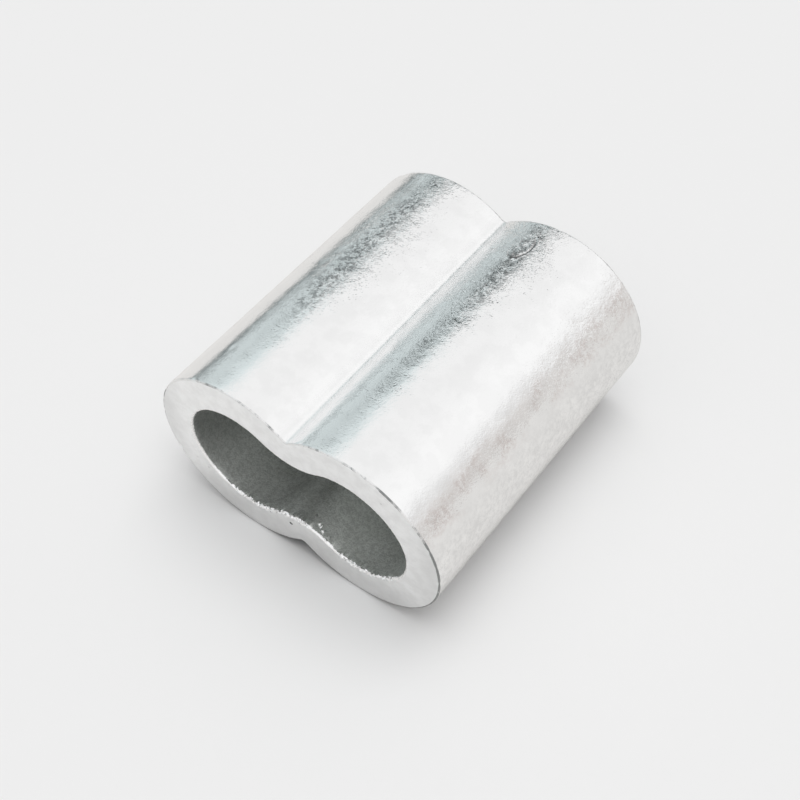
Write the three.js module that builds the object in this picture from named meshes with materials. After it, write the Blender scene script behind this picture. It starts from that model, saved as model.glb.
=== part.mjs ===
import * as THREE from 'three';

// Hourglass crimping sleeve: two round rope channels side by side in one aluminium wall.
// Millimetres, +Z up. The origin is on the surface that the sleeve lies on, under its middle.
// +Y runs along the channels, +X across them.

// Channels
const channelDiameter = 7.3; // bore of each round channel, for 6 mm wire rope
const channelPitch = 7.55; // from one channel's axis to the other's
const waistRadius = 3.75; // convex round on which the two channels run together

// Outside
const wallThickness = 2.2; // wall round each channel, concentric with it
const valleyRadius = 0.3; // concave round at the bottom of both outer valleys
const sleeveLength = 20; // from sawn face to sawn face
const rimChamfer = 0.15; // broken edge on all four rims

// Mesh
const arcStep = THREE.MathUtils.degToRad(5); // largest turn of one chord

const channelRadius = channelDiameter / 2;
const lobeRadius = channelRadius + wallThickness;
const quarterTurn = Math.PI / 2;

// Points along an arc, without its last one, which the next arc starts with.
function arcPoints(centreX, centreY, radius, start, end) {
  const arc = new THREE.EllipseCurve(centreX, centreY, radius, radius, start, end, end < start);
  const chords = Math.ceil(Math.abs(end - start) / arcStep);
  return arc.getPoints(chords).slice(0, -1);
}

// Closed outline of two round lobes joined by two arcs that are tangent to both of them.
// The lobes' arcs are split at their crests, so that the outline has its full height.
function hourglassPoints(radius, pitch, neckRadius) {
  const lobeX = pitch / 2;
  const neckY = Math.sqrt((radius + neckRadius) ** 2 - lobeX ** 2);
  const tangentAngle = Math.atan2(neckY, -lobeX);
  const rightLobeAndUpperNeck = [
    ...arcPoints(lobeX, 0, radius, -tangentAngle, -quarterTurn),
    ...arcPoints(lobeX, 0, radius, -quarterTurn, quarterTurn),
    ...arcPoints(lobeX, 0, radius, quarterTurn, tangentAngle),
    ...arcPoints(0, neckY, neckRadius, tangentAngle - Math.PI, -tangentAngle),
  ];
  const leftLobeAndLowerNeck = rightLobeAndUpperNeck.map((point) => point.clone().negate());
  return [...rightLobeAndUpperNeck, ...leftLobeAndLowerNeck];
}

function makeSleeveGeometry() {
  const section = new THREE.Shape(hourglassPoints(lobeRadius, channelPitch, valleyRadius));
  section.holes.push(new THREE.Path(hourglassPoints(channelRadius, channelPitch, waistRadius)));
  const geometry = new THREE.ExtrudeGeometry(section, {
    depth: sleeveLength - 2 * rimChamfer,
    bevelEnabled: true,
    bevelSegments: 1,
    bevelThickness: rimChamfer,
    bevelSize: rimChamfer,
    bevelOffset: -rimChamfer,
  });
  geometry.center();
  return geometry;
}

const bareAluminium = new THREE.MeshStandardMaterial({
  color: 0xd3d5d4,
  metalness: 0.95,
  roughness: 0.3,
});

const sleeve = new THREE.Mesh(makeSleeveGeometry(), bareAluminium);
sleeve.name = 'ferrule_sleeve';
sleeve.rotation.x = Math.PI / 2;
sleeve.position.z = lobeRadius;

const ferrule = new THREE.Group();
ferrule.add(sleeve);

export default ferrule;
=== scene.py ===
"""Studio scene of an hourglass wire rope ferrule: one loose, uncrimped aluminium crimping sleeve.

Lengths are in metres, in the part's own frame: +Y runs along the rope channels, +X across them, and +Z
points up from the surface that the sleeve lies on.
"""

import logging
import math
import random
from collections.abc import Callable, Sequence
from dataclasses import dataclass, field
from enum import IntEnum
from functools import cached_property, reduce
from typing import ClassVar

import bmesh
import bpy
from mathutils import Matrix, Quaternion, Vector
from mathutils.kdtree import KDTree


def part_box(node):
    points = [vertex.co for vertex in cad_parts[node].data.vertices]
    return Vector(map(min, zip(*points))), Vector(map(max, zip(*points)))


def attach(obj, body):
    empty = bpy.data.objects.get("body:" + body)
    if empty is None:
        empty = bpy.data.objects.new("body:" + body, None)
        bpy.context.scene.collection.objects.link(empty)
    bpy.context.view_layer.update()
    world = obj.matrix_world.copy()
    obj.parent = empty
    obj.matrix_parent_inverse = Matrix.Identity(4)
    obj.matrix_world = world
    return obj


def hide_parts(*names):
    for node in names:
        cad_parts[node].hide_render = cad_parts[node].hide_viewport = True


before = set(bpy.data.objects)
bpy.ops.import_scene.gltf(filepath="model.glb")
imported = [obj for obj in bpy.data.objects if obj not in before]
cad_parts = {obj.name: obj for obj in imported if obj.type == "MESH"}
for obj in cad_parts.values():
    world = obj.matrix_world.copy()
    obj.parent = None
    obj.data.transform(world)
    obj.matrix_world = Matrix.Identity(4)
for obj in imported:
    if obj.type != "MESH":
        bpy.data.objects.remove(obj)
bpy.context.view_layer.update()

MM = 0.001
MICRON = 0.000001
SLEEVE_NODE = "ferrule_sleeve"
WHITE = (1.0, 1.0, 1.0)
BLACK = (0.0, 0.0, 0.0)

Socket = bpy.types.NodeSocket
Pair = tuple[float, float]
Triple = tuple[float, float, float]
Colour = Triple
Noise = tuple[float, ...]  # its scale, its detail and, if it isn't a half, its roughness

log = logging.getLogger("ferrule")


def smooth_step(share: float) -> float:
    """Eases a share from 0 to 1, and keeps it there."""
    share = min(max(share, 0.0), 1.0)
    return share * share * (3.0 - 2.0 * share)


def shade(colour: Colour, share: float = 1.0) -> tuple[float, float, float, float]:
    """Scales a colour and makes it opaque."""
    return (*(share * part for part in colour), 1.0)


class Region(IntEnum):
    """The sleeve's kinds of surface, in the order of its material slots."""

    SKIN = 0
    SAWN_FACE = 1
    RIM = 2
    BURR = 3
    BORE = 4
    # PIT's faces take a black finish that paints the torn pit's shade
    PIT = 5


@dataclass(frozen=True)
class Mark:
    """A small knock or nick: a smooth hollow, or a ridge where the depth is negative."""

    centre: Vector
    radius: float
    depth: float

    def depth_at(self, distance: float) -> float:
        """Gives its depth at a distance from its centre."""
        share = max(0.0, 1.0 - (distance / self.radius) ** 2)
        return self.depth * share * share


@dataclass(frozen=True)
class MarkRange:
    """The limits, in millimetres, between which a random mark's radius and depth lie."""

    radius: Pair
    depth: Pair

    def mark(self, centre: Vector, chance: random.Random) -> Mark:
        """Makes a mark of a random size."""
        return Mark(centre, chance.uniform(*self.radius) * MM, chance.uniform(*self.depth) * MM)


@dataclass(frozen=True)
class Crescent:
    """The knock on top of the right lobe, near the rear: a slanted oval groove round torn metal.

    Its deepest side is an angle round the oval, in radians. The dip is a radius and a depth, and a ring is
    a share of the oval's size and a depth. A corner mark is a turn round the lobe from +X towards +Z, in
    degrees, a place along the sleeve, a radius and a depth.
    """

    turn: float = 100.9
    along: float = 7.73 * MM
    half_width: float = 0.58 * MM
    half_length: float = 0.98 * MM
    slant: float = 0.25
    deepest: float = -0.9
    shallowest: float = 0.25
    contrast: float = 0.6
    dip: Pair = (0.9 * MM, 0.004 * MM)
    rings: tuple[Pair, ...] = ((1.0, 0.030 * MM), (1.17, -0.010 * MM), (0.72, -0.006 * MM))
    ring_steps: int = 64
    ring_radius: float = 0.085 * MM
    torn_spots: int = 34
    torn_reach: Pair = (0.1, 0.85)
    torn: MarkRange = MarkRange((0.07, 0.15), (-0.006, 0.012))
    corner: tuple[tuple[float, float, float, float], ...] = (
        (99.0, 6.8 * MM, 0.16 * MM, 0.06 * MM),
        (101.5, 6.95 * MM, 0.13 * MM, 0.05 * MM),
        (98.0, 7.0 * MM, 0.1 * MM, 0.03 * MM),
    )

    def oval(self, turn: float, reach: float) -> Pair:
        """Gives the distances across and along to a point of the oval, or inside or outside it."""
        return self.half_width * reach * math.cos(turn), self.half_length * reach * math.sin(turn)

    def depth_share(self, turn: float) -> float:
        """Gives how deep the groove is at a turn round the oval, as a share of its deepest."""
        share = smooth_step(0.5 + self.contrast * math.cos(turn - self.deepest))
        return self.shallowest + (1.0 - self.shallowest) * share


# Shader graphs


@dataclass(frozen=True)
class Fade:
    """A smooth change from one value to another, between two places along one axis.

    Where it has a middle, it runs between two distances from there, on both sides.
    """

    axis: str
    start: float
    end: float
    values: Pair = (0.0, 1.0)
    middle: float | None = None


@dataclass(frozen=True)
class Speckle:
    """A noise, whose values between two limits are spread smoothly over a new range."""

    scale: float
    detail: float
    rough: float
    limits: Pair
    values: Pair = (0.0, 1.0)


@dataclass
class Graph:
    """A node tree with short ways to add nodes and join them."""

    tree: bpy.types.NodeTree

    def add(self, kind: str, **settings: object) -> bpy.types.Node:
        """Adds a node.

        Args:
            kind: the node's type, without its ShaderNode prefix.
            settings: attributes of the node, set as they are.

        Returns:
            The new node.
        """
        prefix = "" if kind.startswith("Node") else "ShaderNode"
        node = self.tree.nodes.new(prefix + kind)
        for name, value in settings.items():
            setattr(node, name, value)
        return node

    def join(self, source: Socket, target: Socket) -> None:
        """Links an output to an input."""
        self.tree.links.new(source, target)

    def feed(self, target: Socket, value: object) -> None:
        """Gives an input a link, if value is an output, or else a constant."""
        if isinstance(value, bpy.types.NodeSocket):
            self.join(value, target)
        else:
            target.default_value = value

    def math(self, operation: str, *values: object) -> Socket:
        """Adds a Math node of an operation, with outputs or numbers for its inputs, in order."""
        node = self.add("Math", operation=operation)
        for socket, value in zip(node.inputs, values):
            self.feed(socket, value)
        return node.outputs[0]

    def chain(self, operation: str, *values: object) -> Socket:
        """Joins several values by the same Math operation, from the first to the last."""
        return reduce(lambda result, value: self.math(operation, result, value), values)

    def length(self, across: Socket, along: Socket) -> Socket:
        """Measures a flat vector."""
        squares = (self.math("MULTIPLY", part, part) for part in (across, along))
        return self.math("SQRT", self.math("ADD", *squares))

    def remap(
        self,
        value: Socket,
        source: tuple[object, object],
        target: tuple[object, object] = (0.0, 1.0),
    ) -> Socket:
        """Maps a value smoothly from one range to another, and clamps it there.

        Args:
            value: the output to map.
            source: the range's two ends before.
            target: the range's two ends after.

        Returns:
            The mapped value.
        """
        node = self.add("MapRange", interpolation_type="SMOOTHSTEP", clamp=True)
        self.join(value, node.inputs["Value"])
        for name, number in zip(("From Min", "From Max", "To Min", "To Max"), source + target):
            self.feed(node.inputs[name], number)
        return node.outputs["Result"]

    def split(self, vector: Socket) -> bpy.types.bpy_prop_collection:
        """Splits a vector into outputs named X, Y and Z."""
        node = self.add("SeparateXYZ")
        self.join(vector, node.inputs[0])
        return node.outputs

    def stretch(self, vector: Socket, scale: Triple, turn: Triple = (0.0, 0.0, 0.0)) -> Socket:
        """Turns a pattern's coordinates and then scales them.

        Args:
            vector: the coordinates.
            scale: the factor along each turned axis.
            turn: the turn about each axis, in radians.

        Returns:
            The new coordinates.
        """
        turned = self.add("Mapping", vector_type="TEXTURE")
        self.join(vector, turned.inputs["Vector"])
        turned.inputs["Rotation"].default_value = turn
        scaled = self.add("VectorMath", operation="MULTIPLY")
        self.join(turned.outputs[0], scaled.inputs[0])
        scaled.inputs[1].default_value = scale
        return scaled.outputs[0]

    def noise(self, vector: Socket, scale: object, detail: float = 2.0, rough: float = 0.5) -> Socket:
        """Adds a noise texture and returns its value."""
        node = self.add("TexNoise")
        self.join(vector, node.inputs["Vector"])
        self.feed(node.inputs["Scale"], scale)
        node.inputs["Detail"].default_value = detail
        node.inputs["Roughness"].default_value = rough
        return node.outputs[0]

    def blend(self, share: object, first: object, second: object) -> Socket:
        """Mixes two colours by a share from 0, the first, to 1, the second."""
        node = self.add("Mix", data_type="RGBA")
        self.feed(node.inputs[0], share)
        self.feed(node.inputs[6], first)
        self.feed(node.inputs[7], second)
        return node.outputs[2]

    def layers(self, base: object, *coats: tuple[object, object]) -> Socket:
        """Lays colours over a base.

        Args:
            base: the lowest colour.
            coats: from the lowest up, each its share from 0 to 1 and its colour.

        Returns:
            The colour on top.
        """
        for share, colour in coats:
            base = self.blend(share, base, colour)
        return base

    def ramp(self, value: Socket, stops: Sequence[tuple[float, Colour]]) -> Socket:
        """Turns a value from 0 to 1 into a colour.

        Args:
            value: the output to colour.
            stops: places from 0 to 1, rising, each with its colour.

        Returns:
            The colour.
        """
        node = self.add("ValToRGB")
        elements = node.color_ramp.elements
        while len(elements) < len(stops):
            elements.new(0.5)
        for element, (place, colour) in zip(elements, stops):
            element.position = place
            element.color = shade(colour)
        self.join(value, node.inputs[0])
        return node.outputs[0]


def new_group(
    name: str, numbers: Sequence[tuple[str, float]], result: str
) -> tuple[Graph, bpy.types.bpy_prop_collection, Socket]:
    """Starts a shader node group that takes coordinates and numbers and gives out one value.

    Args:
        name: the group's name.
        numbers: the names of its number inputs, each with its first value.
        result: the name of its output.

    Returns:
        The group's graph, the outputs that give what it takes, and the input that takes its result.
    """
    tree = bpy.data.node_groups.new(name, "ShaderNodeTree")
    tree.interface.new_socket("Vector", in_out="INPUT", socket_type="NodeSocketVector")
    for label, value in numbers:
        socket = tree.interface.new_socket(label, in_out="INPUT", socket_type="NodeSocketFloat")
        socket.default_value = value
    tree.interface.new_socket(result, in_out="OUTPUT", socket_type="NodeSocketFloat")
    graph = Graph(tree)
    return graph, graph.add("NodeGroupInput").outputs, graph.add("NodeGroupOutput").inputs[result]


@dataclass
class MetalEffects:
    """The shader groups that the sleeve's finishes share, each built once."""

    needle_turns: Triple = (0.4, 1.5, 2.6)
    needle_lean: float = 0.5
    pit_edge: float = 0.12
    grain: bpy.types.NodeTree = field(init=False)
    needles: bpy.types.NodeTree = field(init=False)
    pits: bpy.types.NodeTree = field(init=False)

    def __post_init__(self) -> None:
        """Builds the groups."""
        self.grain = self.build_grain()
        self.needles = self.build_needles()
        self.pits = self.build_pits()

    def build_grain(self) -> bpy.types.NodeTree:
        """Builds tumbled grain: a coarse and a fine noise, added up to one height."""
        numbers = (("Coarse", 2000.0), ("Fine", 8000.0), ("Fine Share", 0.4))
        graph, given, height = new_group("metal_grain", numbers, "Height")
        coarse = graph.noise(given["Vector"], given["Coarse"], detail=1.5)
        fine = graph.noise(given["Vector"], given["Fine"], detail=2.5, rough=0.6)
        share = given["Fine Share"]
        rest = graph.math("MULTIPLY", coarse, graph.math("SUBTRACT", 1.0, share))
        graph.join(graph.math("MULTIPLY_ADD", fine, share, rest), height)
        return graph.tree

    def build_needles(self) -> bpy.types.NodeTree:
        """Builds crossed needles: the crests of a stretched noise, laid in three directions."""
        numbers = (("Scale", 9000.0), ("Stretch", 0.22))
        graph, given, height = new_group("crossed_needles", numbers, "Height")
        crests = []
        for turn in self.needle_turns:
            leaning = (0.0, self.needle_lean * turn, turn)
            axes = graph.split(graph.stretch(given["Vector"], (1.0, 1.0, 1.0), leaning))
            joined = graph.add("CombineXYZ")
            graph.join(graph.math("MULTIPLY", axes["X"], given["Stretch"]), joined.inputs["X"])
            graph.join(axes["Y"], joined.inputs["Y"])
            graph.join(axes["Z"], joined.inputs["Z"])
            streaks = graph.noise(joined.outputs[0], given["Scale"], detail=1.0)
            away = graph.math("ABSOLUTE", graph.math("MULTIPLY_ADD", streaks, 2.0, -1.0))
            crests.append(graph.math("SUBTRACT", 1.0, away))
        graph.join(graph.chain("MAXIMUM", *crests), height)
        return graph.tree

    def build_pits(self) -> bpy.types.NodeTree:
        """Builds scattered round pits of many sizes."""
        numbers = (("Scale", 2500.0), ("Amount", 0.3), ("Size", 0.3))
        graph, given, mask = new_group("metal_pits", numbers, "Mask")
        cells = graph.add("TexVoronoi", feature="F1")
        graph.join(given["Vector"], cells.inputs["Vector"])
        graph.join(given["Scale"], cells.inputs["Scale"])
        chance = graph.add("SeparateColor")
        graph.join(cells.outputs["Color"], chance.inputs[0])
        present = graph.math("LESS_THAN", chance.outputs[0], given["Amount"])
        radius = graph.math("MULTIPLY", given["Size"], chance.outputs[1])
        inside = graph.math("SUBTRACT", radius, cells.outputs["Distance"])
        depth = graph.remap(inside, (0.0, self.pit_edge))
        graph.join(graph.math("MULTIPLY", depth, present), mask)
        return graph.tree


@dataclass
class FinishGraph(Graph):
    """A material's graph, with its Principled shader and the sleeve's own coordinates."""

    @cached_property
    def shader(self) -> bpy.types.Node:
        """The material's shader."""
        return self.tree.nodes["Principled BSDF"]

    @cached_property
    def place(self) -> Socket:
        """The coordinates in the sleeve's own frame."""
        return self.add("TexCoord").outputs["Object"]

    @cached_property
    def axes(self) -> bpy.types.bpy_prop_collection:
        """These coordinates one by one, as outputs named X, Y and Z."""
        return self.split(self.place)

    def fade(self, fade: Fade) -> Socket:
        """Lays a fade over the surface."""
        place = self.axes[fade.axis]
        if fade.middle is not None:
            place = self.math("ABSOLUTE", self.math("SUBTRACT", place, fade.middle))
        return self.remap(place, (fade.start, fade.end), fade.values)

    def zone(self, fades: Sequence[Fade]) -> Socket:
        """Marks the place where several fades meet, by their product."""
        return self.chain("MULTIPLY", *(self.fade(fade) for fade in fades))

    def speckle(self, speckle: Speckle) -> Socket:
        """Lays a speckle over the surface."""
        pattern = self.noise(self.place, speckle.scale, speckle.detail, speckle.rough)
        return self.remap(pattern, speckle.limits, speckle.values)

    def surface(self, colour: object, rough: object) -> None:
        """Gives the shader its colour and its roughness."""
        self.feed(self.shader.inputs["Base Color"], colour)
        self.feed(self.shader.inputs["Roughness"], rough)

    def effect(self, group: bpy.types.NodeTree, **numbers: float) -> Socket:
        """Places a shared effect with its own numbers.

        Args:
            group: the effect's node group.
            numbers: its inputs, with underscores for spaces.

        Returns:
            The effect's output.
        """
        node = self.add("Group")
        node.node_tree = group
        self.join(self.place, node.inputs["Vector"])
        for name, value in numbers.items():
            node.inputs[name.replace("_", " ").title()].default_value = value
        return node.outputs[0]

    def relief(self, *layers: tuple[Socket, float]) -> None:
        """Stacks bumps on the shader's normal.

        Args:
            layers: each a height from 0 to 1 and how far that raises the surface, in metres.
        """
        normal = None
        for height, reach in layers:
            bump = self.add("Bump")
            bump.inputs["Distance"].default_value = abs(reach)
            bump.invert = reach < 0
            self.join(height, bump.inputs["Height"])
            if normal is not None:
                self.join(normal, bump.inputs["Normal"])
            normal = bump.outputs[0]
        self.join(normal, self.shader.inputs["Normal"])


# Finishes


@dataclass(frozen=True)
class Finish:
    """A finish of the sleeve, which makes its own material."""

    name: ClassVar[str]
    metallic: ClassVar[float] = 1.0

    def build(self, effects: MetalEffects) -> bpy.types.Material:
        """Builds the material.

        Args:
            effects: the shared shader groups.

        Returns:
            The material.
        """
        material = bpy.data.materials.new(self.name)
        material.use_nodes = True
        graph = FinishGraph(material.node_tree)
        graph.shader.inputs["Metallic"].default_value = self.metallic
        self.paint(graph, effects)
        return material

    def paint(self, graph: FinishGraph, effects: MetalEffects) -> None:
        """Gives the material's shader its colour, roughness and relief."""
        raise NotImplementedError


@dataclass(frozen=True)
class TumbledSkin(Finish):
    """The bright outer skin: drawn aluminium, tumbled until fine needle marks cover it.

    The numbers from dull to the one before smudged multiply its colour. Three of them paint light: a
    painted highlight on the right lobe beside the valley, painted shade in the crescent's groove and
    painted shade on the underside between the lobes. A patch of scuffs has a middle, across and along the
    sleeve, and half a width and half a length.
    """

    name: ClassVar[str] = "tumbled_skin"
    crescent: Crescent
    crescent_place: Vector
    colour: Colour = (0.92, 0.92, 0.92)
    dull: float = 0.965
    # a painted highlight: brightens the right lobe's side next to the valley
    valley_highlight: float = 1.07
    stained: float = 0.74
    bruised: float = 0.48
    # painted shade in the crescent's groove and torn corner
    groove_shade: float = 0.16
    # painted shade on the underside between the lobes, beneath the valley
    tunnel_shade: float = 0.08
    smudged: Colour = (0.775, 0.735, 0.725)
    patches: Noise = (900.0, 3.0)
    polish: Pair = (0.3, 0.7)
    roughness: Pair = (0.09, 0.17)
    tarnish: Pair = (0.6, 0.4)
    valley: Fade = Fade("X", 1.1 * MM, 0.15 * MM, (0.0, 0.36), middle=0.0)
    valley_highlight_zone: tuple[Fade, ...] = (Fade("X", 2.3 * MM, 0.8 * MM), Fade("X", -0.3 * MM, 0.0))
    handled: Fade = Fade("Z", 9.3 * MM, 6.8 * MM, (0.0, 0.65))
    stains: Speckle = Speckle(3000.0, 8.0, 0.8, (0.40, 0.62))
    top: Fade = Fade("Z", 9.0 * MM, 10.0 * MM)
    scuffs: tuple[tuple[float, float, float, float], ...] = (
        (-4.75 * MM, 2.0 * MM, 1.1 * MM, 7.0 * MM),
        (2.85 * MM, 6.0 * MM, 0.9 * MM, 4.5 * MM),
    )
    scuff_core: Pair = (0.3, 0.5)
    clumps: Speckle = Speckle(3000.0, 4.0, 0.7, (0.46, 0.58))
    shoulder: tuple[Fade, ...] = (
        Fade("Z", 7.9 * MM, 8.9 * MM),
        Fade("Z", 10.1 * MM, 9.6 * MM),
        Fade("X", 6.0 * MM, 7.0 * MM, middle=0.0),
    )
    smears: Speckle = Speckle(750.0, 3.0, 0.5, (0.43, 0.63))
    strokes: Speckle = Speckle(4200.0, 5.0, 0.75, (0.38, 0.60))
    tunnel: tuple[Fade, ...] = (
        Fade("X", 3.7 * MM, 3.2 * MM, middle=0.0),
        Fade("Z", 3.0 * MM, 2.2 * MM),
    )
    groove_deep_side: Pair = (-0.1, 0.6)
    groove_edge: Pair = (0.13, 0.03)
    groove_gaps: Speckle = Speckle(3000.0, 3.0, 0.7, (0.35, 0.52), (0.35, 1.0))
    corner_along: float = 0.95
    corner_edge: Pair = (0.5, 0.15)
    corner_clumps: Speckle = Speckle(4200.0, 2.0, 0.5, (0.46, 0.56))
    wear_slant: float = -0.45
    wear_places: Pair = (-6.0 * MM, 2.5 * MM)
    wear: Pair = (0.5, 1.15)
    unevenness: Speckle = Speckle(380.0, 2.0, 0.5, (0.38, 0.62), (0.8, 1.25))
    calm: Fade = Fade("X", -5.3 * MM, -6.0 * MM, (1.0, 0.42))
    shoulder_wear: float = 0.5
    grain_height: float = 36.0 * MICRON
    needle_height: float = 22.0 * MICRON

    def paint(self, graph: FinishGraph, effects: MetalEffects) -> None:
        """Soils the metal by handling, paints a highlight by the valley, paints shade in the crescent and
        the tunnel, and roughens it.
        """
        patches = graph.noise(graph.place, *self.patches)
        shoulder = graph.zone(self.shoulder)
        smudges = graph.chain("MULTIPLY", graph.speckle(self.smears), graph.speckle(self.strokes), shoulder)
        colour = graph.layers(
            shade(self.colour),
            (graph.remap(patches, self.tarnish), shade(self.colour, self.dull)),
            # painted highlight on the right lobe beside the valley
            (graph.zone(self.valley_highlight_zone), shade(self.colour, self.valley_highlight)),
            (
                graph.math("MULTIPLY", graph.speckle(self.stains), graph.fade(self.handled)),
                shade(self.colour, self.stained),
            ),
            (self.scuff_marks(graph), shade(self.colour, self.bruised)),
            (smudges, shade(self.smudged)),
            # painted shade in the crescent's groove and torn corner
            (self.crescent_shade(graph), shade(self.colour, self.groove_shade)),
            # painted shade on the underside between the lobes, beneath the valley
            (graph.zone(self.tunnel), shade(self.colour, self.tunnel_shade)),
        )
        polish = graph.remap(patches, self.polish, self.roughness)
        graph.surface(colour, graph.math("MAXIMUM", polish, graph.fade(self.valley)))
        slanted = graph.math("MULTIPLY_ADD", graph.axes["X"], self.wear_slant, graph.axes["Y"])
        amount = graph.chain(
            "MULTIPLY",
            graph.remap(slanted, self.wear_places, self.wear),
            graph.speckle(self.unevenness),
            graph.fade(self.calm),
            graph.math("MULTIPLY_ADD", shoulder, self.shoulder_wear, 1.0),
        )
        grain = graph.effect(effects.grain, coarse=1500.0, fine=5000.0, fine_share=0.4)
        needles = graph.effect(effects.needles, scale=5400.0, stretch=0.25)
        graph.relief(
            (graph.math("MULTIPLY", grain, amount), self.grain_height),
            (graph.math("MULTIPLY", needles, amount), self.needle_height),
        )

    def scuff_marks(self, graph: FinishGraph) -> Socket:
        """Lays the patches of scuff marks on the lobes' crests."""
        top = graph.fade(self.top)
        clumps = graph.speckle(self.clumps)
        core_width, core_length = self.scuff_core
        patches = []
        for x, y, half_width, half_length in self.scuffs:
            across = Fade("X", half_width, core_width * half_width, middle=x)
            along = Fade("Y", half_length, core_length * half_length, middle=y)
            patches.append(graph.chain("MULTIPLY", graph.zone((across, along)), top, clumps))
        return graph.chain("MAXIMUM", *patches)

    def crescent_shade(self, graph: FinishGraph) -> Socket:
        """Paints shade along the deeper side of the crescent's groove and in its torn corner."""
        crescent = self.crescent
        x = graph.math("SUBTRACT", graph.axes["X"], self.crescent_place.x)
        y = graph.math("SUBTRACT", graph.axes["Y"], self.crescent_place.y)
        y = graph.math("MULTIPLY_ADD", x, -crescent.slant, y)
        across = graph.math("DIVIDE", x, crescent.half_width)
        along = graph.math("DIVIDE", y, crescent.half_length)
        from_groove = graph.math("ABSOLUTE", graph.math("SUBTRACT", graph.length(across, along), 1.0))
        side = graph.math("MULTIPLY", across, math.cos(crescent.deepest))
        side = graph.math("MULTIPLY_ADD", along, math.sin(crescent.deepest), side)
        groove = graph.chain(
            "MULTIPLY",
            graph.remap(from_groove, self.groove_edge),
            graph.speckle(self.groove_gaps),
            graph.remap(side, self.groove_deep_side),
        )
        from_corner = graph.length(across, graph.math("ADD", along, self.corner_along))
        corner = graph.remap(from_corner, self.corner_edge)
        corner = graph.math("MULTIPLY", corner, graph.speckle(self.corner_clumps))
        return graph.math("MULTIPLY", graph.math("MAXIMUM", groove, corner), graph.fade(self.top))


@dataclass(frozen=True)
class SawnFace(Finish):
    """The sawn ends: matte, finely lined along the saw's travel, with a few torn pits."""

    name: ClassVar[str] = "sawn_face"
    colour: Colour = (0.965, 0.975, 0.985)
    dull: float = 0.92
    # the tone of the face's painted shade towards the bottom and both far ends
    shade_tone: float = 0.5
    # how dark the pits are painted: painted shade in them
    torn: float = 0.35
    patches: Noise = (1300.0, 5.0, 0.65)
    mottle: Pair = (0.35, 0.65)
    polish: Pair = (0.3, 0.7)
    roughness: Pair = (0.3, 0.42)
    # painted shade: the face darker towards the bottom and towards both far ends
    lower_shade: Fade = Fade("Z", 3.8 * MM, 1.0 * MM, (0.0, 0.33))
    end_shade: Fade = Fade("X", 7.4 * MM, 9.6 * MM, (0.0, 0.3), middle=0.0)
    line_stretch: Triple = (0.06, 1.0, 1.0)
    line_turn: Triple = (0.0, 0.5, 0.0)
    line_scale: float = 5000.0
    line_height: float = 12.0 * MICRON
    grain_height: float = 30.0 * MICRON
    pit_depth: float = -60.0 * MICRON

    def paint(self, graph: FinishGraph, effects: MetalEffects) -> None:
        """Mottles the face, paints shade on it towards the bottom, towards both far ends and in its pits,
        and lines it.
        """
        lines = graph.noise(graph.stretch(graph.place, self.line_stretch, self.line_turn), self.line_scale)
        grain = graph.effect(effects.grain, coarse=1500.0, fine=5000.0, fine_share=0.5)
        pits = graph.effect(effects.pits, scale=1300.0, amount=0.05, size=0.2)
        patches = graph.noise(graph.place, *self.patches)
        # painted shade: the face darker towards the bottom and towards both far ends
        face_shade = graph.math("MAXIMUM", graph.fade(self.lower_shade), graph.fade(self.end_shade))
        colour = graph.layers(
            shade(self.colour, self.dull),
            (graph.remap(patches, self.mottle), shade(self.colour)),
            (face_shade, shade(self.colour, self.shade_tone)),
            # the pits darkened with painted shade
            (pits, shade(self.colour, self.torn)),
        )
        graph.surface(colour, graph.remap(patches, self.polish, self.roughness))
        graph.relief((lines, self.line_height), (grain, self.grain_height), (pits, self.pit_depth))


@dataclass(frozen=True)
class SawnRim(Finish):
    """The outer rims: a narrow broken edge, nicked, with dark patches that are partly real soiling and
    partly painted shade, and a painted contact shadow low down.
    """

    name: ClassVar[str] = "sawn_rim"
    colour: Colour = (0.86, 0.86, 0.86)
    # the dark colour of the patches, partly real soiling and partly painted shade, and of the painted
    # contact shadow
    dirt_and_shade: Colour = (0.27, 0.28, 0.28)
    contact_shadow_tone: float = 0.3
    patches: Noise = (700.0, 6.0, 0.75)
    dirt_and_shade_limits: Pair = (0.47, 0.65)
    polish: Pair = (0.35, 0.65)
    roughness: Pair = (0.25, 0.45)
    # painted shade: more dark patches lower down
    lower_shade: Fade = Fade("Z", 9.8 * MM, 7.2 * MM)
    low_shade_bias: float = 0.17
    # painted contact shadow along the rims' undersides
    contact_shadow: Fade = Fade("Z", 3.4 * MM, 1.8 * MM, (0.0, 0.9))
    grain_height: float = 40.0 * MICRON

    def paint(self, graph: FinishGraph, effects: MetalEffects) -> None:
        """Darkens the rim in patches, partly real soiling and partly painted shade, more of them lower
        down, and paints a contact shadow on the underside.
        """
        grain = graph.effect(effects.grain, coarse=2000.0, fine=5000.0, fine_share=0.5)
        patches = graph.noise(graph.place, *self.patches)
        # dark patches, partly real soiling and partly painted shade, biased towards the bottom as painted
        # shade
        dirt_and_shade_mask = graph.math("MULTIPLY_ADD", graph.fade(self.lower_shade), self.low_shade_bias, patches)
        colour = graph.layers(
            shade(self.colour),
            (graph.remap(dirt_and_shade_mask, self.dirt_and_shade_limits), shade(self.dirt_and_shade)),
            # painted contact shadow along the rims' undersides
            (graph.fade(self.contact_shadow), shade(self.dirt_and_shade, self.contact_shadow_tone)),
        )
        graph.surface(colour, graph.remap(grain, self.polish, self.roughness))
        graph.relief((grain, self.grain_height))


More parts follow.
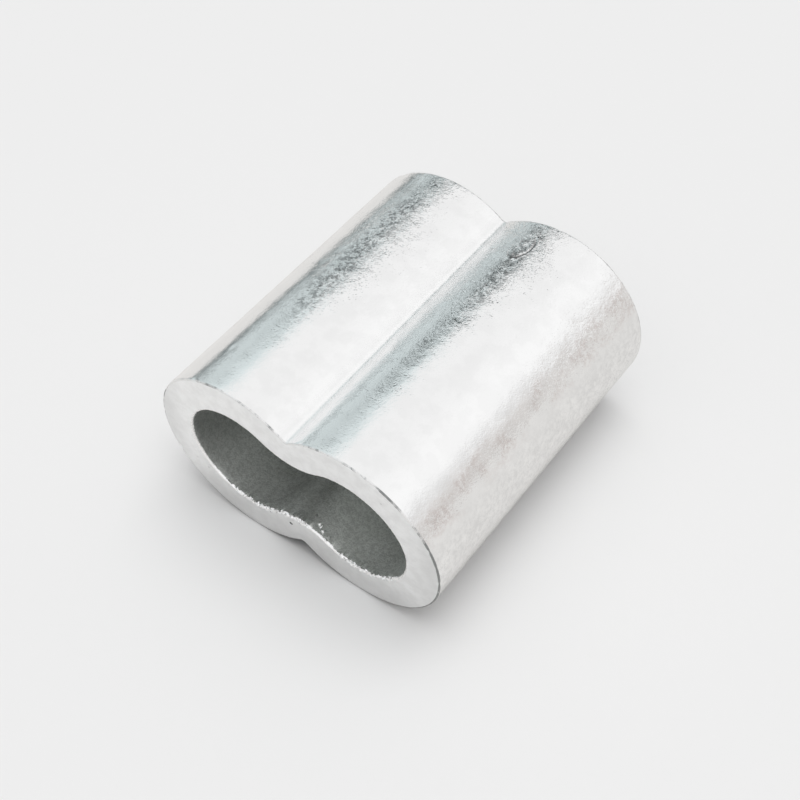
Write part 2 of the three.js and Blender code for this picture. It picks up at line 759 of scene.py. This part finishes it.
@dataclass(frozen=True)
class TornBurr(Finish):
    """The mouths' inner rims: freshly torn, bright metal in tiny facets."""

    name: ClassVar[str] = "torn_burr"
    colour: Colour = (0.95, 0.95, 0.95)
    torn: float = 0.4
    polish: Pair = (0.35, 0.65)
    roughness: Pair = (0.15, 0.35)
    grain_height: float = 70.0 * MICRON

    def paint(self, graph: FinishGraph, effects: MetalEffects) -> None:
        """Scatters pits, darkened as painted shade, over coarse bright grain."""
        grain = graph.effect(effects.grain, coarse=2500.0, fine=5500.0, fine_share=0.5)
        pits = graph.effect(effects.pits, scale=3500.0, amount=0.3, size=0.35)
        # the pits darkened with painted shade
        colour = graph.blend(pits, shade(self.colour), shade(self.colour, self.torn))
        graph.surface(colour, graph.remap(grain, self.polish, self.roughness))
        graph.relief((grain, self.grain_height))


@dataclass(frozen=True)
class DrawnBore(Finish):
    """The inside of the channels: dull, grey-green, grainy metal left as it was drawn."""

    name: ClassVar[str] = "drawn_bore"
    metallic: ClassVar[float] = 0.85
    colour: Colour = (0.69, 0.71, 0.69)
    dark: float = 0.86
    light: float = 1.14
    grains: Pair = (0.4, 0.6)
    patches: Noise = (900.0, 4.0)
    polish: Pair = (0.3, 0.7)
    roughness: Pair = (0.38, 0.48)
    # painted shade in the bore: darker over the left channel, along the waist ridge and at the far left end
    left_shade: Fade = Fade("X", 1.2 * MM, 0.0, (0.0, 0.11))
    ridge: Fade = Fade("X", 0.75 * MM, 0.1 * MM, (0.0, 0.16), middle=-0.15 * MM)
    corner: Fade = Fade("X", -5.8 * MM, -7.2 * MM, (0.0, 0.22))
    line_stretch: Triple = (1.0, 0.03, 1.0)
    line_scale: float = 4000.0
    line_height: float = 8.0 * MICRON
    grain_height: float = 30.0 * MICRON

    def paint(self, graph: FinishGraph, effects: MetalEffects) -> None:
        """Mixes dark and light grains, and paints shade over them on the left channel, along the waist
        ridge and at the far left end.
        """
        lines = graph.noise(graph.stretch(graph.place, self.line_stretch), self.line_scale)
        grain = graph.effect(effects.grain, coarse=4000.0, fine=12000.0, fine_share=0.6)
        patches = graph.noise(graph.place, *self.patches)
        # painted shade from these three fades
        bore_shade = graph.chain("ADD", *(graph.fade(part) for part in (self.left_shade, self.ridge, self.corner)))
        colour = graph.layers(
            shade(self.colour, self.dark),
            (graph.remap(grain, self.grains), shade(self.colour, self.light)),
            (bore_shade, shade(BLACK)),
        )
        graph.surface(colour, graph.remap(patches, self.polish, self.roughness))
        graph.relief((lines, self.line_height), (grain, self.grain_height))


@dataclass(frozen=True)
class PitShade(Finish):
    """A black, matte finish on the torn pit's faces: painted shade at the bottom of the pit."""

    name: ClassVar[str] = "pit_shade"
    metallic: ClassVar[float] = 0.0
    colour: Colour = (0.03, 0.03, 0.03)
    roughness: float = 0.8

    def paint(self, graph: FinishGraph, effects: MetalEffects) -> None:
        """Gives the painted shade its even colour and roughness."""
        graph.surface(shade(self.colour), self.roughness)


# The sleeve


def make_active(piece: bpy.types.Object) -> None:
    """Selects an object and nothing else, and makes it the active one."""
    bpy.ops.object.select_all(action="DESELECT")
    piece.select_set(True)
    bpy.context.view_layer.objects.active = piece


@dataclass
class EditMode:
    """Holds one object in edit mode, and picks its edges and faces by a test."""

    piece: bpy.types.Object

    def __enter__(self) -> "EditMode":
        """Deselects everything else and enters edit mode with nothing picked."""
        make_active(self.piece)
        bpy.ops.object.mode_set(mode="EDIT")
        bpy.ops.mesh.select_all(action="DESELECT")
        return self

    def __exit__(self, *problem: object) -> None:
        """Goes back to object mode."""
        bpy.ops.object.mode_set(mode="OBJECT")

    def pick_edges(self, test: Callable[[bmesh.types.BMEdge], bool]) -> None:
        """Picks the edges that pass a test, and nothing else."""
        self.pick("EDGE", lambda mesh: mesh.edges, test)

    def pick_faces(self, test: Callable[[bmesh.types.BMFace], bool]) -> None:
        """Picks the faces that pass a test, and nothing else."""
        self.pick("FACE", lambda mesh: mesh.faces, test)

    def pick(self, kind: str, elements: Callable[[bmesh.types.BMesh], Sequence], test: Callable) -> None:
        """Picks elements of one kind.

        Args:
            kind: the select mode.
            elements: takes the mesh and gives its elements of this kind.
            test: takes an element and says whether it is picked.
        """
        bpy.ops.mesh.select_mode(type=kind)
        bpy.ops.mesh.select_all(action="DESELECT")
        mesh = bmesh.from_edit_mesh(self.piece.data)
        mesh.normal_update()
        for element in list(filter(test, elements(mesh))):
            element.select_set(True)
        mesh.select_flush_mode()
        bmesh.update_edit_mesh(self.piece.data)


@dataclass(frozen=True)
class WallOutline:
    """One side of the sleeve's wall: two round lobes, and the arcs tangent to both that join them."""

    lobe_radius: float
    lobe_x: float
    neck_radius: float
    lobe_steps: int
    neck_steps: int
    length_cuts: int

    @property
    def neck_z(self) -> float:
        """The height of the joining arc's centre above the lobes' centres."""
        return math.sqrt((self.lobe_radius + self.neck_radius) ** 2 - self.lobe_x**2)

    @property
    def lobe_sweep(self) -> float:
        """The angle of a quarter of the outline that lies on the lobe."""
        return math.atan2(self.neck_z, -self.lobe_x)

    @property
    def rail_x(self) -> float:
        """How far out the outline reaches."""
        return self.lobe_x + self.lobe_radius

    def clearance(self, x: float, z: float) -> float:
        """Measures how far a point is outside the outline.

        Args:
            x: across the sleeve, from its middle.
            z: up, from the lobes' centres.

        Returns:
            The distance, which is negative inside the outline.
        """
        x = abs(x)
        z = abs(z)
        if x / self.lobe_x + z / self.neck_z < 1.0:
            return self.neck_radius - math.hypot(x, z - self.neck_z)
        return math.hypot(x - self.lobe_x, z) - self.lobe_radius

    def low_z(self, x: float) -> float:
        """Gives the height of the outline's underside at a place across the sleeve."""
        share = self.neck_radius / (self.lobe_radius + self.neck_radius)
        if abs(x) < self.lobe_x * share:
            return math.sqrt(self.neck_radius**2 - x * x) - self.neck_z
        return -math.sqrt(self.lobe_radius**2 - (abs(x) - self.lobe_x) ** 2)

    def sweep(self, editor: EditMode) -> None:
        """Spins the rail at the side of the lobe, in edit mode, into a quarter of this wall."""
        editor.pick_edges(lambda edge: all(abs(v.co.x - self.rail_x) < MICRON for v in edge.verts))
        bpy.ops.mesh.subdivide(number_cuts=self.length_cuts)
        round_lobe = (self.lobe_steps, self.lobe_sweep, (self.lobe_x, 0.0, 0.0))
        round_neck = (self.neck_steps, math.pi / 2 - self.lobe_sweep, (0.0, 0.0, self.neck_z))
        for steps, angle, center in (round_lobe, round_neck):
            bpy.ops.mesh.spin(steps=steps, angle=angle, center=center, axis=(0.0, 1.0, 0.0))


@dataclass
class Sleeve:
    """The ferrule itself: one aluminium body, modelled as a quarter and mirrored.

    Until it is lifted onto the floor, its middle is at the origin. A patch is a reach round a detail and
    the cuts that refine the mesh there, and a mark is a radius and a depth. The waves are a height and a
    length, the coarse ones first. A crumb's place is across the sleeve and in from the front mouth. The
    turns of the nicks are the left lobe's and then the right one's. A pull on the burr is a direction, its
    height and grain as shares of the burr's, and the clouds' middle level. A run of burr is where it
    starts, how far it takes to rise, where it ends and how far it takes to fall.
    """

    low: Vector
    high: Vector
    wall: float = 2.2 * MM
    waist_radius: float = 3.75 * MM
    valley_radius: float = 0.3 * MM
    outer_rim: float = 0.09 * MM
    inner_rim: float = 0.14 * MM
    rim_segments: int = 3
    rim_angle: float = 60.0
    smooth_angle: float = 40.0
    face_lean: float = 0.98
    rim_lean: float = 0.2
    quarter_steps: int = 92
    valley_steps: int = 6
    waist_steps: int = 18
    outer_cuts: int = 124
    bore_cuts: int = 40
    face_cuts: int = 12
    waves: tuple[Pair, ...] = ((22 * MICRON, 2.8 * MM), (9 * MICRON, 0.6 * MM))
    crescent: Crescent = Crescent()
    crescent_patch: tuple[float, int] = (1.35 * MM, 3)
    pit_place: Pair = (-0.75 * MM, -3.41 * MM)
    pit_mark: Pair = (0.13 * MM, 0.25 * MM)
    pit_patch: tuple[float, int] = (0.3 * MM, 3)
    pit_shade_reach: float = 0.11 * MM
    crumb_places: tuple[Pair, ...] = (
        (1.35 * MM, 0.4 * MM),
        (1.12 * MM, 0.52 * MM),
        (0.95 * MM, 0.62 * MM),
        (0.5 * MM, 0.9 * MM),
        (1.75 * MM, 0.35 * MM),
    )
    crumb_mark: Pair = (0.12 * MM, -0.09 * MM)
    crumb_patch: tuple[float, int] = (0.3 * MM, 2)
    crumb_reach: float = 0.1 * MM
    nick: MarkRange = MarkRange((0.12, 0.3), (0.02, 0.07))
    nick_counts: tuple[tuple[int, int], ...] = ((-1, 26), (1, 14))
    nick_turns: tuple[Pair, Pair] = ((-20.0, 260.0), (-20.0, 200.0))
    knock: MarkRange = MarkRange((0.15, 0.5), (0.004, 0.018))
    knock_count: int = 70
    knock_turns: Pair = (-40.0, 220.0)
    burr_height: float = 0.34 * MM
    burr_grain: float = 0.13 * MM
    burr_patch: tuple[float, int] = (0.22 * MM, 1)
    burr_width: float = 1.3
    burr_pulls: tuple[tuple[str, float, float, float], ...] = (("Z", 1.0, 1.0, 0.35), ("Y", 0.6, 0.7, 0.55))
    burr_runs: tuple[tuple[float, float, float, float], ...] = (
        (-5.4 * MM, 1.2 * MM, 0.9 * MM, 0.6 * MM),
        (2.3 * MM, 0.5 * MM, 7.0 * MM, 0.8 * MM),
    )
    faint_burr: tuple[float, float, float] = (-6.5 * MM, 1.5 * MM, 0.25)
    seed: int = 7
    piece: bpy.types.Object = field(init=False)
    skin: WallOutline = field(init=False)
    bore: WallOutline = field(init=False)

    def __post_init__(self) -> None:
        """Works out the two outlines of the wall."""
        self.skin = self.outline(0.0, self.valley_radius, self.valley_steps, self.outer_cuts)
        self.bore = self.outline(self.wall, self.waist_radius, self.waist_steps, self.bore_cuts)

    def outline(self, depth: float, neck_radius: float, neck_steps: int, cuts: int) -> WallOutline:
        """Describes the wall's outline at a depth under the outer skin.

        Args:
            depth: how far in from the skin.
            neck_radius: the radius of the arcs that join the lobes.
            neck_steps: how many steps a quarter of the outline has on such an arc.
            cuts: how many cuts there are along the sleeve.

        Returns:
            The outline.
        """
        lobe_steps = self.quarter_steps - neck_steps
        return WallOutline(self.lobe_radius - depth, self.lobe_x, neck_radius, lobe_steps, neck_steps, cuts)

    @property
    def length(self) -> float:
        """From sawn face to sawn face."""
        return self.high.y - self.low.y

    @property
    def lobe_radius(self) -> float:
        """The outer radius of each lobe."""
        return (self.high.z - self.low.z) / 2

    @property
    def lobe_x(self) -> float:
        """From the middle to each lobe's axis."""
        return (self.high.x - self.low.x) / 2 - self.lobe_radius

    def build(self) -> bpy.types.Object:
        """Models the sleeve and gives back its mesh object, without materials."""
        self.piece = self.add_rails()
        with EditMode(self.piece) as editor:
            self.skin.sweep(editor)
            self.bore.sweep(editor)
        self.mirror_quarter()
        with EditMode(self.piece) as editor:
            self.close_ends(editor)
            self.break_rims(editor)
        self.name_regions()
        self.refine_details()
        self.wave_skin()
        self.press_marks()
        self.raise_burr()
        self.lift_onto_floor()
        angle = math.radians(self.smooth_angle)
        bpy.ops.object.shade_smooth_by_angle(angle=angle, keep_sharp_edges=False)
        return self.piece

    def add_rails(self) -> bpy.types.Object:
        """Adds a plane as wide as the wall and keeps only its two long edges."""
        rail_middle = self.lobe_x + self.lobe_radius - self.wall / 2
        bpy.ops.object.select_all(action="DESELECT")
        bpy.ops.mesh.primitive_plane_add(size=1.0)
        piece = bpy.context.object
        piece.name = "hourglass_sleeve"
        piece.data.name = "hourglass_sleeve"
        with EditMode(piece) as editor:
            bpy.ops.mesh.select_all(action="SELECT")
            bpy.ops.transform.resize(value=(self.wall, self.length, 1.0))
            bpy.ops.transform.translate(value=(rail_middle, 0.0, 0.0))
            bpy.ops.mesh.delete(type="ONLY_FACE")
            editor.pick_edges(lambda edge: abs(edge.verts[0].co.y - edge.verts[1].co.y) < MICRON)
            bpy.ops.mesh.delete(type="EDGE")
        return piece

    def mirror_quarter(self) -> None:
        """Mirrors the quarter to the other lobe and to the underside."""
        mirror = self.piece.modifiers.new("other_quarters", "MIRROR")
        mirror.use_axis = (True, False, True)
        mirror.merge_threshold = MICRON
        bpy.ops.object.modifier_apply(modifier=mirror.name)

    def close_ends(self, editor: EditMode) -> None:
        """Bridges the skin to the bore at both ends, and turns every face outwards."""
        for end in (-1, 1):
            y = end * self.length / 2
            editor.pick_edges(lambda edge: all(abs(v.co.y - y) < MICRON for v in edge.verts))
            bpy.ops.mesh.bridge_edge_loops(number_cuts=self.face_cuts, interpolation="LINEAR")
        bpy.ops.mesh.select_all(action="SELECT")
        bpy.ops.mesh.remove_doubles(threshold=0.1 * MICRON)
        bpy.ops.mesh.normals_make_consistent(inside=False)

    def break_rims(self, editor: EditMode) -> None:
        """Rounds the four sharp rims over, the two inner ones further."""
        for outline, offset in ((self.skin, self.outer_rim), (self.bore, self.inner_rim)):
            editor.pick_edges(
                lambda edge: edge.calc_face_angle() > math.radians(self.rim_angle)
                and abs(outline.clearance(edge.verts[0].co.x, edge.verts[0].co.z)) < MICRON
            )
            bpy.ops.mesh.bevel(offset=offset, segments=self.rim_segments, profile=0.5, affect="EDGES")

    def region_of(self, face: bpy.types.MeshPolygon) -> Region:
        """Says which surface a face belongs to, by how it faces and which outline is nearer."""
        x, _, z = face.center
        lean = abs(face.normal.y)
        nearer_skin = abs(self.skin.clearance(x, z)) < abs(self.bore.clearance(x, z))
        if lean > self.face_lean:
            return Region.SAWN_FACE
        if lean > self.rim_lean:
            return Region.RIM if nearer_skin else Region.BURR
        return Region.SKIN if nearer_skin else Region.BORE

    def name_regions(self) -> None:
        """Gives each face the material slot of its region."""
        for _ in Region:
            self.piece.data.materials.append(None)
        for face in self.piece.data.polygons:
            face.material_index = self.region_of(face)

    @property
    def crescent_place(self) -> Vector:
        """The middle of the crescent."""
        return self.on_crescent(0.0, 0.0)

    @property
    def torn_pit(self) -> Vector:
        """The place of the torn pit in the front face, under the waist."""
        x, z = self.pit_place
        return Vector((x, -self.length / 2, z))

    @property
    def crumbs(self) -> list[Vector]:
        """The places of the torn crumbs that cling to the channel's floor, just inside the front mouth."""
        front = -self.length / 2
        return [Vector((x, front + y, self.bore.low_z(x))) for x, y in self.crumb_places]

    def on_skin(self, side: int, turn: float, along: float) -> Vector:
        """Finds a point of the outer skin.

        Args:
            side: -1 for the left lobe, 1 for the right one.
            turn: the angle round the lobe from +X towards +Z, in degrees.
            along: the distance along the sleeve from its middle.

        Returns:
            The point.
        """
        angle = math.radians(turn)
        x = side * self.lobe_x + self.lobe_radius * math.cos(angle)
        return Vector((x, along, self.lobe_radius * math.sin(angle)))

    def on_crescent(self, across: float, along: float) -> Vector:
        """Finds a point of the outer skin by its distances from the crescent's middle."""
        turn = self.crescent.turn - math.degrees(across / self.lobe_radius)
        return self.on_skin(1, turn, self.crescent.along + along)

    def in_burr(self, place: Vector, reach: float) -> bool:
        """Says whether a point is near the lower inner rim of the front mouth."""
        if place.z > 0.0 or place.y > reach - self.length / 2:
            return False
        return abs(self.bore.clearance(place.x, place.z)) < reach

    def refine_details(self) -> None:
        """Subdivides the mesh where the burr, the crescent, the torn pit and the crumbs come."""
        patches = [(self.crescent_place, *self.crescent_patch), (self.torn_pit, *self.pit_patch)]
        patches += [(crumb, *self.crumb_patch) for crumb in self.crumbs]
        burr_reach, burr_cuts = self.burr_patch
        with EditMode(self.piece) as editor:
            editor.pick_faces(lambda face: self.in_burr(face.calc_center_median(), burr_reach))
            bpy.ops.mesh.subdivide(number_cuts=burr_cuts)
            for centre, reach, cuts in patches:
                editor.pick_faces(lambda face: (face.calc_center_median() - centre).length < reach)
                bpy.ops.mesh.subdivide(number_cuts=cuts)
            bpy.ops.mesh.select_all(action="SELECT")
            bpy.ops.mesh.quads_convert_to_tris()
        # the torn pit's faces take the black finish that paints its shade
        for face in self.piece.data.polygons:
            if (face.center - self.torn_pit).length < self.pit_shade_reach:
                face.material_index = Region.PIT
            if any((face.center - crumb).length < self.crumb_reach for crumb in self.crumbs):
                face.material_index = Region.BURR

    def weigh(self, name: str, weights: dict[int, float]) -> str:
        """Adds a vertex group with each vertex's weight, and gives back its name."""
        group = self.piece.vertex_groups.new(name=name)
        for index, weight in weights.items():
            group.add((index,), weight, "REPLACE")
        return group.name

    def displace(self, group: str, strength: float, grain: float = 0.0, **settings: object) -> None:
        """Moves the surface along its normals and applies that.

        Args:
            group: the vertex group that moves.
            strength: how far the surface moves where the group's weight is 1.
            grain: the size of the clouds that vary it, or 0 for an even move.
            settings: attributes of the modifier, set as they are.
        """
        modifier = self.piece.modifiers.new(group, "DISPLACE")
        modifier.vertex_group = group
        modifier.strength = strength
        modifier.mid_level = 0.0
        modifier.texture_coords = "LOCAL"
        if grain > 0.0:
            modifier.texture = bpy.data.textures.new(group, "CLOUDS")
            modifier.texture.noise_scale = grain
            modifier.mid_level = 0.5
        for name, value in settings.items():
            setattr(modifier, name, value)
        bpy.ops.object.modifier_apply(modifier=modifier.name)

    def wave_skin(self) -> None:
        """Gives the outer skin the slow waves of drawn metal and a finer orange peel."""
        corners = {
            corner
            for face in self.piece.data.polygons
            if face.material_index == Region.SKIN
            for corner in face.vertices
        }
        self.weigh("waves", dict.fromkeys(sorted(corners), 1.0))
        for height, size in self.waves:
            self.displace("waves", height, size)

    def crescent_marks(self, chance: random.Random) -> list[Mark]:
        """Lays marks along the crescent's sharp oval groove, its lips and the torn metal inside."""
        shape = self.crescent
        marks = [Mark(self.crescent_place, *shape.dip)]
        for reach, depth in shape.rings:
            for step in range(shape.ring_steps):
                turn = 2 * math.pi * step / shape.ring_steps
                across, along = shape.oval(turn, reach)
                spot = self.on_crescent(across, along + shape.slant * across)
                marks.append(Mark(spot, shape.ring_radius, shape.depth_share(turn) * depth))
        for _ in range(shape.torn_spots):
            turn = chance.uniform(0.0, 2 * math.pi)
            spot = self.on_crescent(*shape.oval(turn, chance.uniform(*shape.torn_reach)))
            marks.append(shape.torn.mark(spot, chance))
        for turn, along, radius, depth in shape.corner:
            marks.append(Mark(self.on_skin(1, turn, along), radius, depth))
        return marks

    def nick_marks(self, chance: random.Random) -> list[Mark]:
        """Scatters nicks along the outer rims of both ends."""
        marks = []
        for end, count in self.nick_counts:
            for _ in range(count):
                side = chance.choice((-1, 1))
                turn = chance.uniform(*self.nick_turns[side > 0])
                spot = self.on_skin(side, turn, end * self.length / 2)
                if self.skin.clearance(spot.x, spot.z) > -self.outer_rim:
                    marks.append(self.nick.mark(spot, chance))
        return marks

    def knock_marks(self, chance: random.Random) -> list[Mark]:
        """Scatters shallow knocks over the outer skin."""
        marks = []
        for _ in range(self.knock_count):
            side = chance.choice((-1, 1))
            turn = chance.uniform(*self.knock_turns)
            spot = self.on_skin(side, turn, chance.uniform(-0.5, 0.5) * self.length)
            marks.append(self.knock.mark(spot, chance))
        return marks

    def press_marks(self) -> None:
        """Presses the crescent, the torn pit, the rims' nicks and the skin's knocks into the metal."""
        chance = random.Random(self.seed)
        marks = self.crescent_marks(chance) + self.nick_marks(chance) + self.knock_marks(chance)
        marks.append(Mark(self.torn_pit, *self.pit_mark))
        marks += [Mark(crumb, *self.crumb_mark) for crumb in self.crumbs]
        vertices = self.piece.data.vertices
        tree = KDTree(len(vertices))
        for vertex in vertices:
            tree.insert(vertex.co, vertex.index)
        tree.balance()
        depths: dict[int, float] = {}
        for mark in marks:
            for _, index, distance in tree.find_range(mark.centre, mark.radius):
                depths[index] = depths.get(index, 0.0) + mark.depth_at(distance)
        for name, sign in (("hollows", 1), ("ridges", -1)):
            parts = {index: sign * depth for index, depth in depths.items() if sign * depth > 0.0}
            most = max(parts.values())
            weights = {index: part / most for index, part in parts.items()}
            self.displace(self.weigh(name, weights), -sign * most)

    def burr_share(self, x: float) -> float:
        """Says how much burr the front mouth's lower rim has at a place across the sleeve."""
        start, rise, most = self.faint_burr
        shares = [most * smooth_step((x - start) / rise)]
        for start, rise, end, fall in self.burr_runs:
            shares.append(smooth_step((x - start) / rise) * smooth_step((end - x) / fall))
        return max(shares)

    def raise_burr(self) -> None:
        """Tears the lower inner rim of the front mouth into a ragged burr."""
        reach = self.burr_width * self.inner_rim
        weights = {
            vertex.index: self.burr_share(vertex.co.x)
            for vertex in self.piece.data.vertices
            if self.in_burr(vertex.co, reach)
        }
        self.weigh("burr", weights)
        for direction, height, grain, level in self.burr_pulls:
            size = grain * self.burr_grain
            self.displace("burr", height * self.burr_height, size, direction=direction, mid_level=level)

    def lift_onto_floor(self) -> None:
        """Raises the sleeve, modelled about its channels' height, to where it rests."""
        self.piece.location = (0.0, 0.0, (self.low.z + self.high.z) / 2)
        make_active(self.piece)
        bpy.ops.object.transform_apply(location=True, rotation=True, scale=True)

    def dress(self, effects: MetalEffects) -> None:
        """Gives each region its finish, made with the shared shader groups."""
        finishes = {
            Region.SKIN: TumbledSkin(self.crescent, self.crescent_place),
            Region.SAWN_FACE: SawnFace(),
            Region.RIM: SawnRim(),
            Region.BURR: TornBurr(),
            Region.BORE: DrawnBore(),
            Region.PIT: PitShade(),
        }
        for region, finish in finishes.items():
            self.piece.data.materials[region] = finish.build(effects)


# The studio


@dataclass(frozen=True)
class Gap:
    """A dark gap in the mirrored walls, which opens and closes at angles from straight up, in degrees.

    These angles shift by its slant from the middle to the rear.
    """

    opens: Pair
    closes: Pair
    strength: float
    more_at_rear: float
    slant: float = 0.0


@dataclass
class Studio:
    """Floor, surroundings, light and camera."""

    low: Vector
    high: Vector
    floor_size: float = 6.0
    floor_tone: float = 0.84
    floor_roughness: float = 0.9
    mirrored_floor: Colour = (0.79, 0.78, 0.765)
    backdrop: float = 0.86
    ambient: Pair = (0.12, 1.17)
    rear: Pair = (0.455, 0.60)
    gaps: tuple[Gap, ...] = (
        Gap((-93.0, -89.0), (-77.0, -83.0), 0.62, 0.05),
        Gap((-100.0, -94.0), (-74.0, -82.0), 0.10, 0.90, slant=60.0),
    )
    gap_colour: Colour = (0.02, 0.025, 0.025)
    front: Pair = (0.1, -0.5)
    front_share: Pair = (0.0, 0.5)
    front_tone: float = 0.95
    key_size: Pair = (3.6, 2.8)
    key_power: float = 78.0
    key_place: Triple = (0.5, 0.36, 4.15)
    azimuth: float = 40.24
    elevation: float = 50.48
    distance: float = 74.08 * MM
    aim: Triple = (0.273 * MM, -1.002 * MM, -0.777 * MM)
    roll: float = 4.13
    lens: float = 57.93
    clip: Pair = (5 * MM, 20.0)

    def build(self) -> None:
        """Sets up everything around the sleeve."""
        self.add_camera()
        self.add_floor()
        self.add_world()
        self.add_key_light()
        settings = bpy.context.scene.view_settings
        settings.view_transform = "Standard"
        settings.look = "None"

    def add_camera(self) -> None:
        """Adds the camera, turned to its azimuth and elevation, and rolled a little."""
        azimuth = math.radians(self.azimuth)
        elevation = math.radians(self.elevation)
        level = math.cos(elevation)
        back = Vector((math.sin(azimuth) * level, -math.cos(azimuth) * level, math.sin(elevation)))
        data = bpy.data.cameras.new("camera")
        data.lens = self.lens
        data.clip_start, data.clip_end = self.clip
        camera = bpy.data.objects.new("camera", data)
        bpy.context.scene.collection.objects.link(camera)
        target = (self.low + self.high) / 2 + Vector(self.aim)
        camera.location = target + back * self.distance
        upright = (-back).to_track_quat("-Z", "Y")
        camera.rotation_mode = "QUATERNION"
        camera.rotation_quaternion = upright @ Quaternion((0.0, 0.0, 1.0), -math.radians(self.roll))
        bpy.context.scene.camera = camera

    def add_floor(self) -> None:
        """Adds the pale floor that the sleeve lies on."""
        bpy.ops.object.select_all(action="DESELECT")
        bpy.ops.mesh.primitive_plane_add(size=self.floor_size, location=(0.0, 0.0, self.low.z))
        floor = bpy.context.object
        floor.name = "floor"
        material = bpy.data.materials.new("pale_floor")
        material.use_nodes = True
        graph = FinishGraph(material.node_tree)
        glossy = graph.add("LightPath").outputs["Is Glossy Ray"]
        tone = graph.blend(glossy, shade(WHITE, self.floor_tone), shade(self.mirrored_floor))
        graph.surface(tone, self.floor_roughness)
        graph.shader.inputs["Specular IOR Level"].default_value = 0.0
        floor.data.materials.append(material)

    def add_world(self) -> None:
        """Surrounds the sleeve with soft light, and gives the metal something to mirror."""
        world = bpy.data.worlds.new("studio")
        bpy.context.scene.world = world
        world.use_nodes = True
        world.cycles.sampling_method = "NONE"
        graph = Graph(world.node_tree)
        graph.tree.nodes.clear()
        direction = graph.split(graph.add("TexCoord").outputs["Generated"])
        path = graph.add("LightPath").outputs
        height = graph.math("MAXIMUM", direction["Z"], 0.0)
        horizon, zenith = (shade(WHITE, tone) for tone in self.ambient)
        colour = graph.layers(
            horizon,
            (graph.math("MULTIPLY", height, height), zenith),
            (path["Is Glossy Ray"], self.mirrored_room(graph, direction)),
            (path["Is Camera Ray"], shade(WHITE, self.backdrop)),
        )
        background = graph.add("Background")
        graph.join(colour, background.inputs["Color"])
        graph.join(background.outputs[0], graph.add("OutputWorld").inputs["Surface"])

    def mirrored_room(self, graph: Graph, direction: bpy.types.bpy_prop_collection) -> Socket:
        """Paints the room that the metal mirrors.

        Args:
            graph: the world's graph.
            direction: the outputs X, Y and Z of the direction looked in.

        Returns:
            The room's colour: walls and a ceiling with dark gaps on the left, plainer at the front.
        """
        lean = graph.math("ARCTAN2", direction["X"], direction["Z"])
        degrees = graph.math("MULTIPLY", lean, 180 / math.pi)
        share = graph.math("MULTIPLY_ADD", degrees, 1 / 360, 0.5)
        rear = graph.remap(direction["Y"], self.rear)
        gaps = []
        for gap in self.gaps:
            place = graph.math("MULTIPLY_ADD", direction["Y"], -gap.slant, degrees)
            strength = graph.math("MULTIPLY_ADD", rear, gap.more_at_rear, gap.strength)
            edges = (graph.remap(place, gap.opens), graph.remap(place, gap.closes))
            gaps.append(graph.chain("MULTIPLY", *edges, strength))
        front = graph.remap(direction["Y"], self.front, self.front_share)
        return graph.layers(
            graph.ramp(share, [(angle / 360 + 0.5, colour) for angle, colour in self.walls()]),
            (graph.chain("MAXIMUM", *gaps), shade(self.gap_colour)),
            (front, shade(WHITE, self.front_tone)),
        )

    def walls(self) -> list[tuple[float, Colour]]:
        """Lists what the metal mirrors from left to right.

        Returns:
            Angles from straight up, in degrees and rising from left to right, each with its colour.
        """
        cool = (0.93, 1.025, 1.035)
        warm = (1.03, 0.995, 0.97)
        tones = (
            (-92.0, 0.66, cool),
            (-79.0, 0.71, cool),
            (-70.0, 0.73, cool),
            (-60.0, 0.74, cool),
            (-48.0, 0.76, cool),
            (-40.0, 0.84, cool),
            (-32.0, 0.95, WHITE),
            (-20.0, 0.955, WHITE),
            (0.0, 0.945, WHITE),
            (20.0, 0.985, WHITE),
            (38.0, 1.03, WHITE),
            (52.0, 1.03, WHITE),
            (58.0, 0.97, WHITE),
            (64.0, 0.83, WHITE),
            (76.0, 0.72, warm),
            (84.0, 0.65, warm),
            (92.0, 0.62, warm),
        )
        return [(angle, tuple(tone * part for part in tint)) for angle, tone, tint in tones]

    def add_key_light(self) -> None:
        """Adds a broad softbox above and behind the sleeve, which the metal doesn't mirror."""
        data = bpy.data.lights.new("key_softbox", "AREA")
        data.shape = "RECTANGLE"
        data.size, data.size_y = self.key_size
        data.energy = self.key_power
        light = bpy.data.objects.new("key_softbox", data)
        bpy.context.scene.collection.objects.link(light)
        light.location = self.key_place
        light.rotation_mode = "QUATERNION"
        light.rotation_quaternion = Vector(light.location).to_track_quat("Z", "Y")
        light.visible_camera = False
        light.visible_glossy = False


def main() -> None:
    """Builds the studio and the sleeve, and ties the sleeve to the frame."""
    logging.basicConfig(level=logging.INFO, format="%(message)s")
    low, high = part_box(SLEEVE_NODE)
    Studio(low, high).build()
    sleeve = Sleeve(low, high)
    piece = sleeve.build()
    sleeve.dress(MetalEffects())
    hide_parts(SLEEVE_NODE)
    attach(piece, "root")
    log.info("%s: %d faces", piece.name, len(piece.data.polygons))


if __name__ == "__main__":
    main()
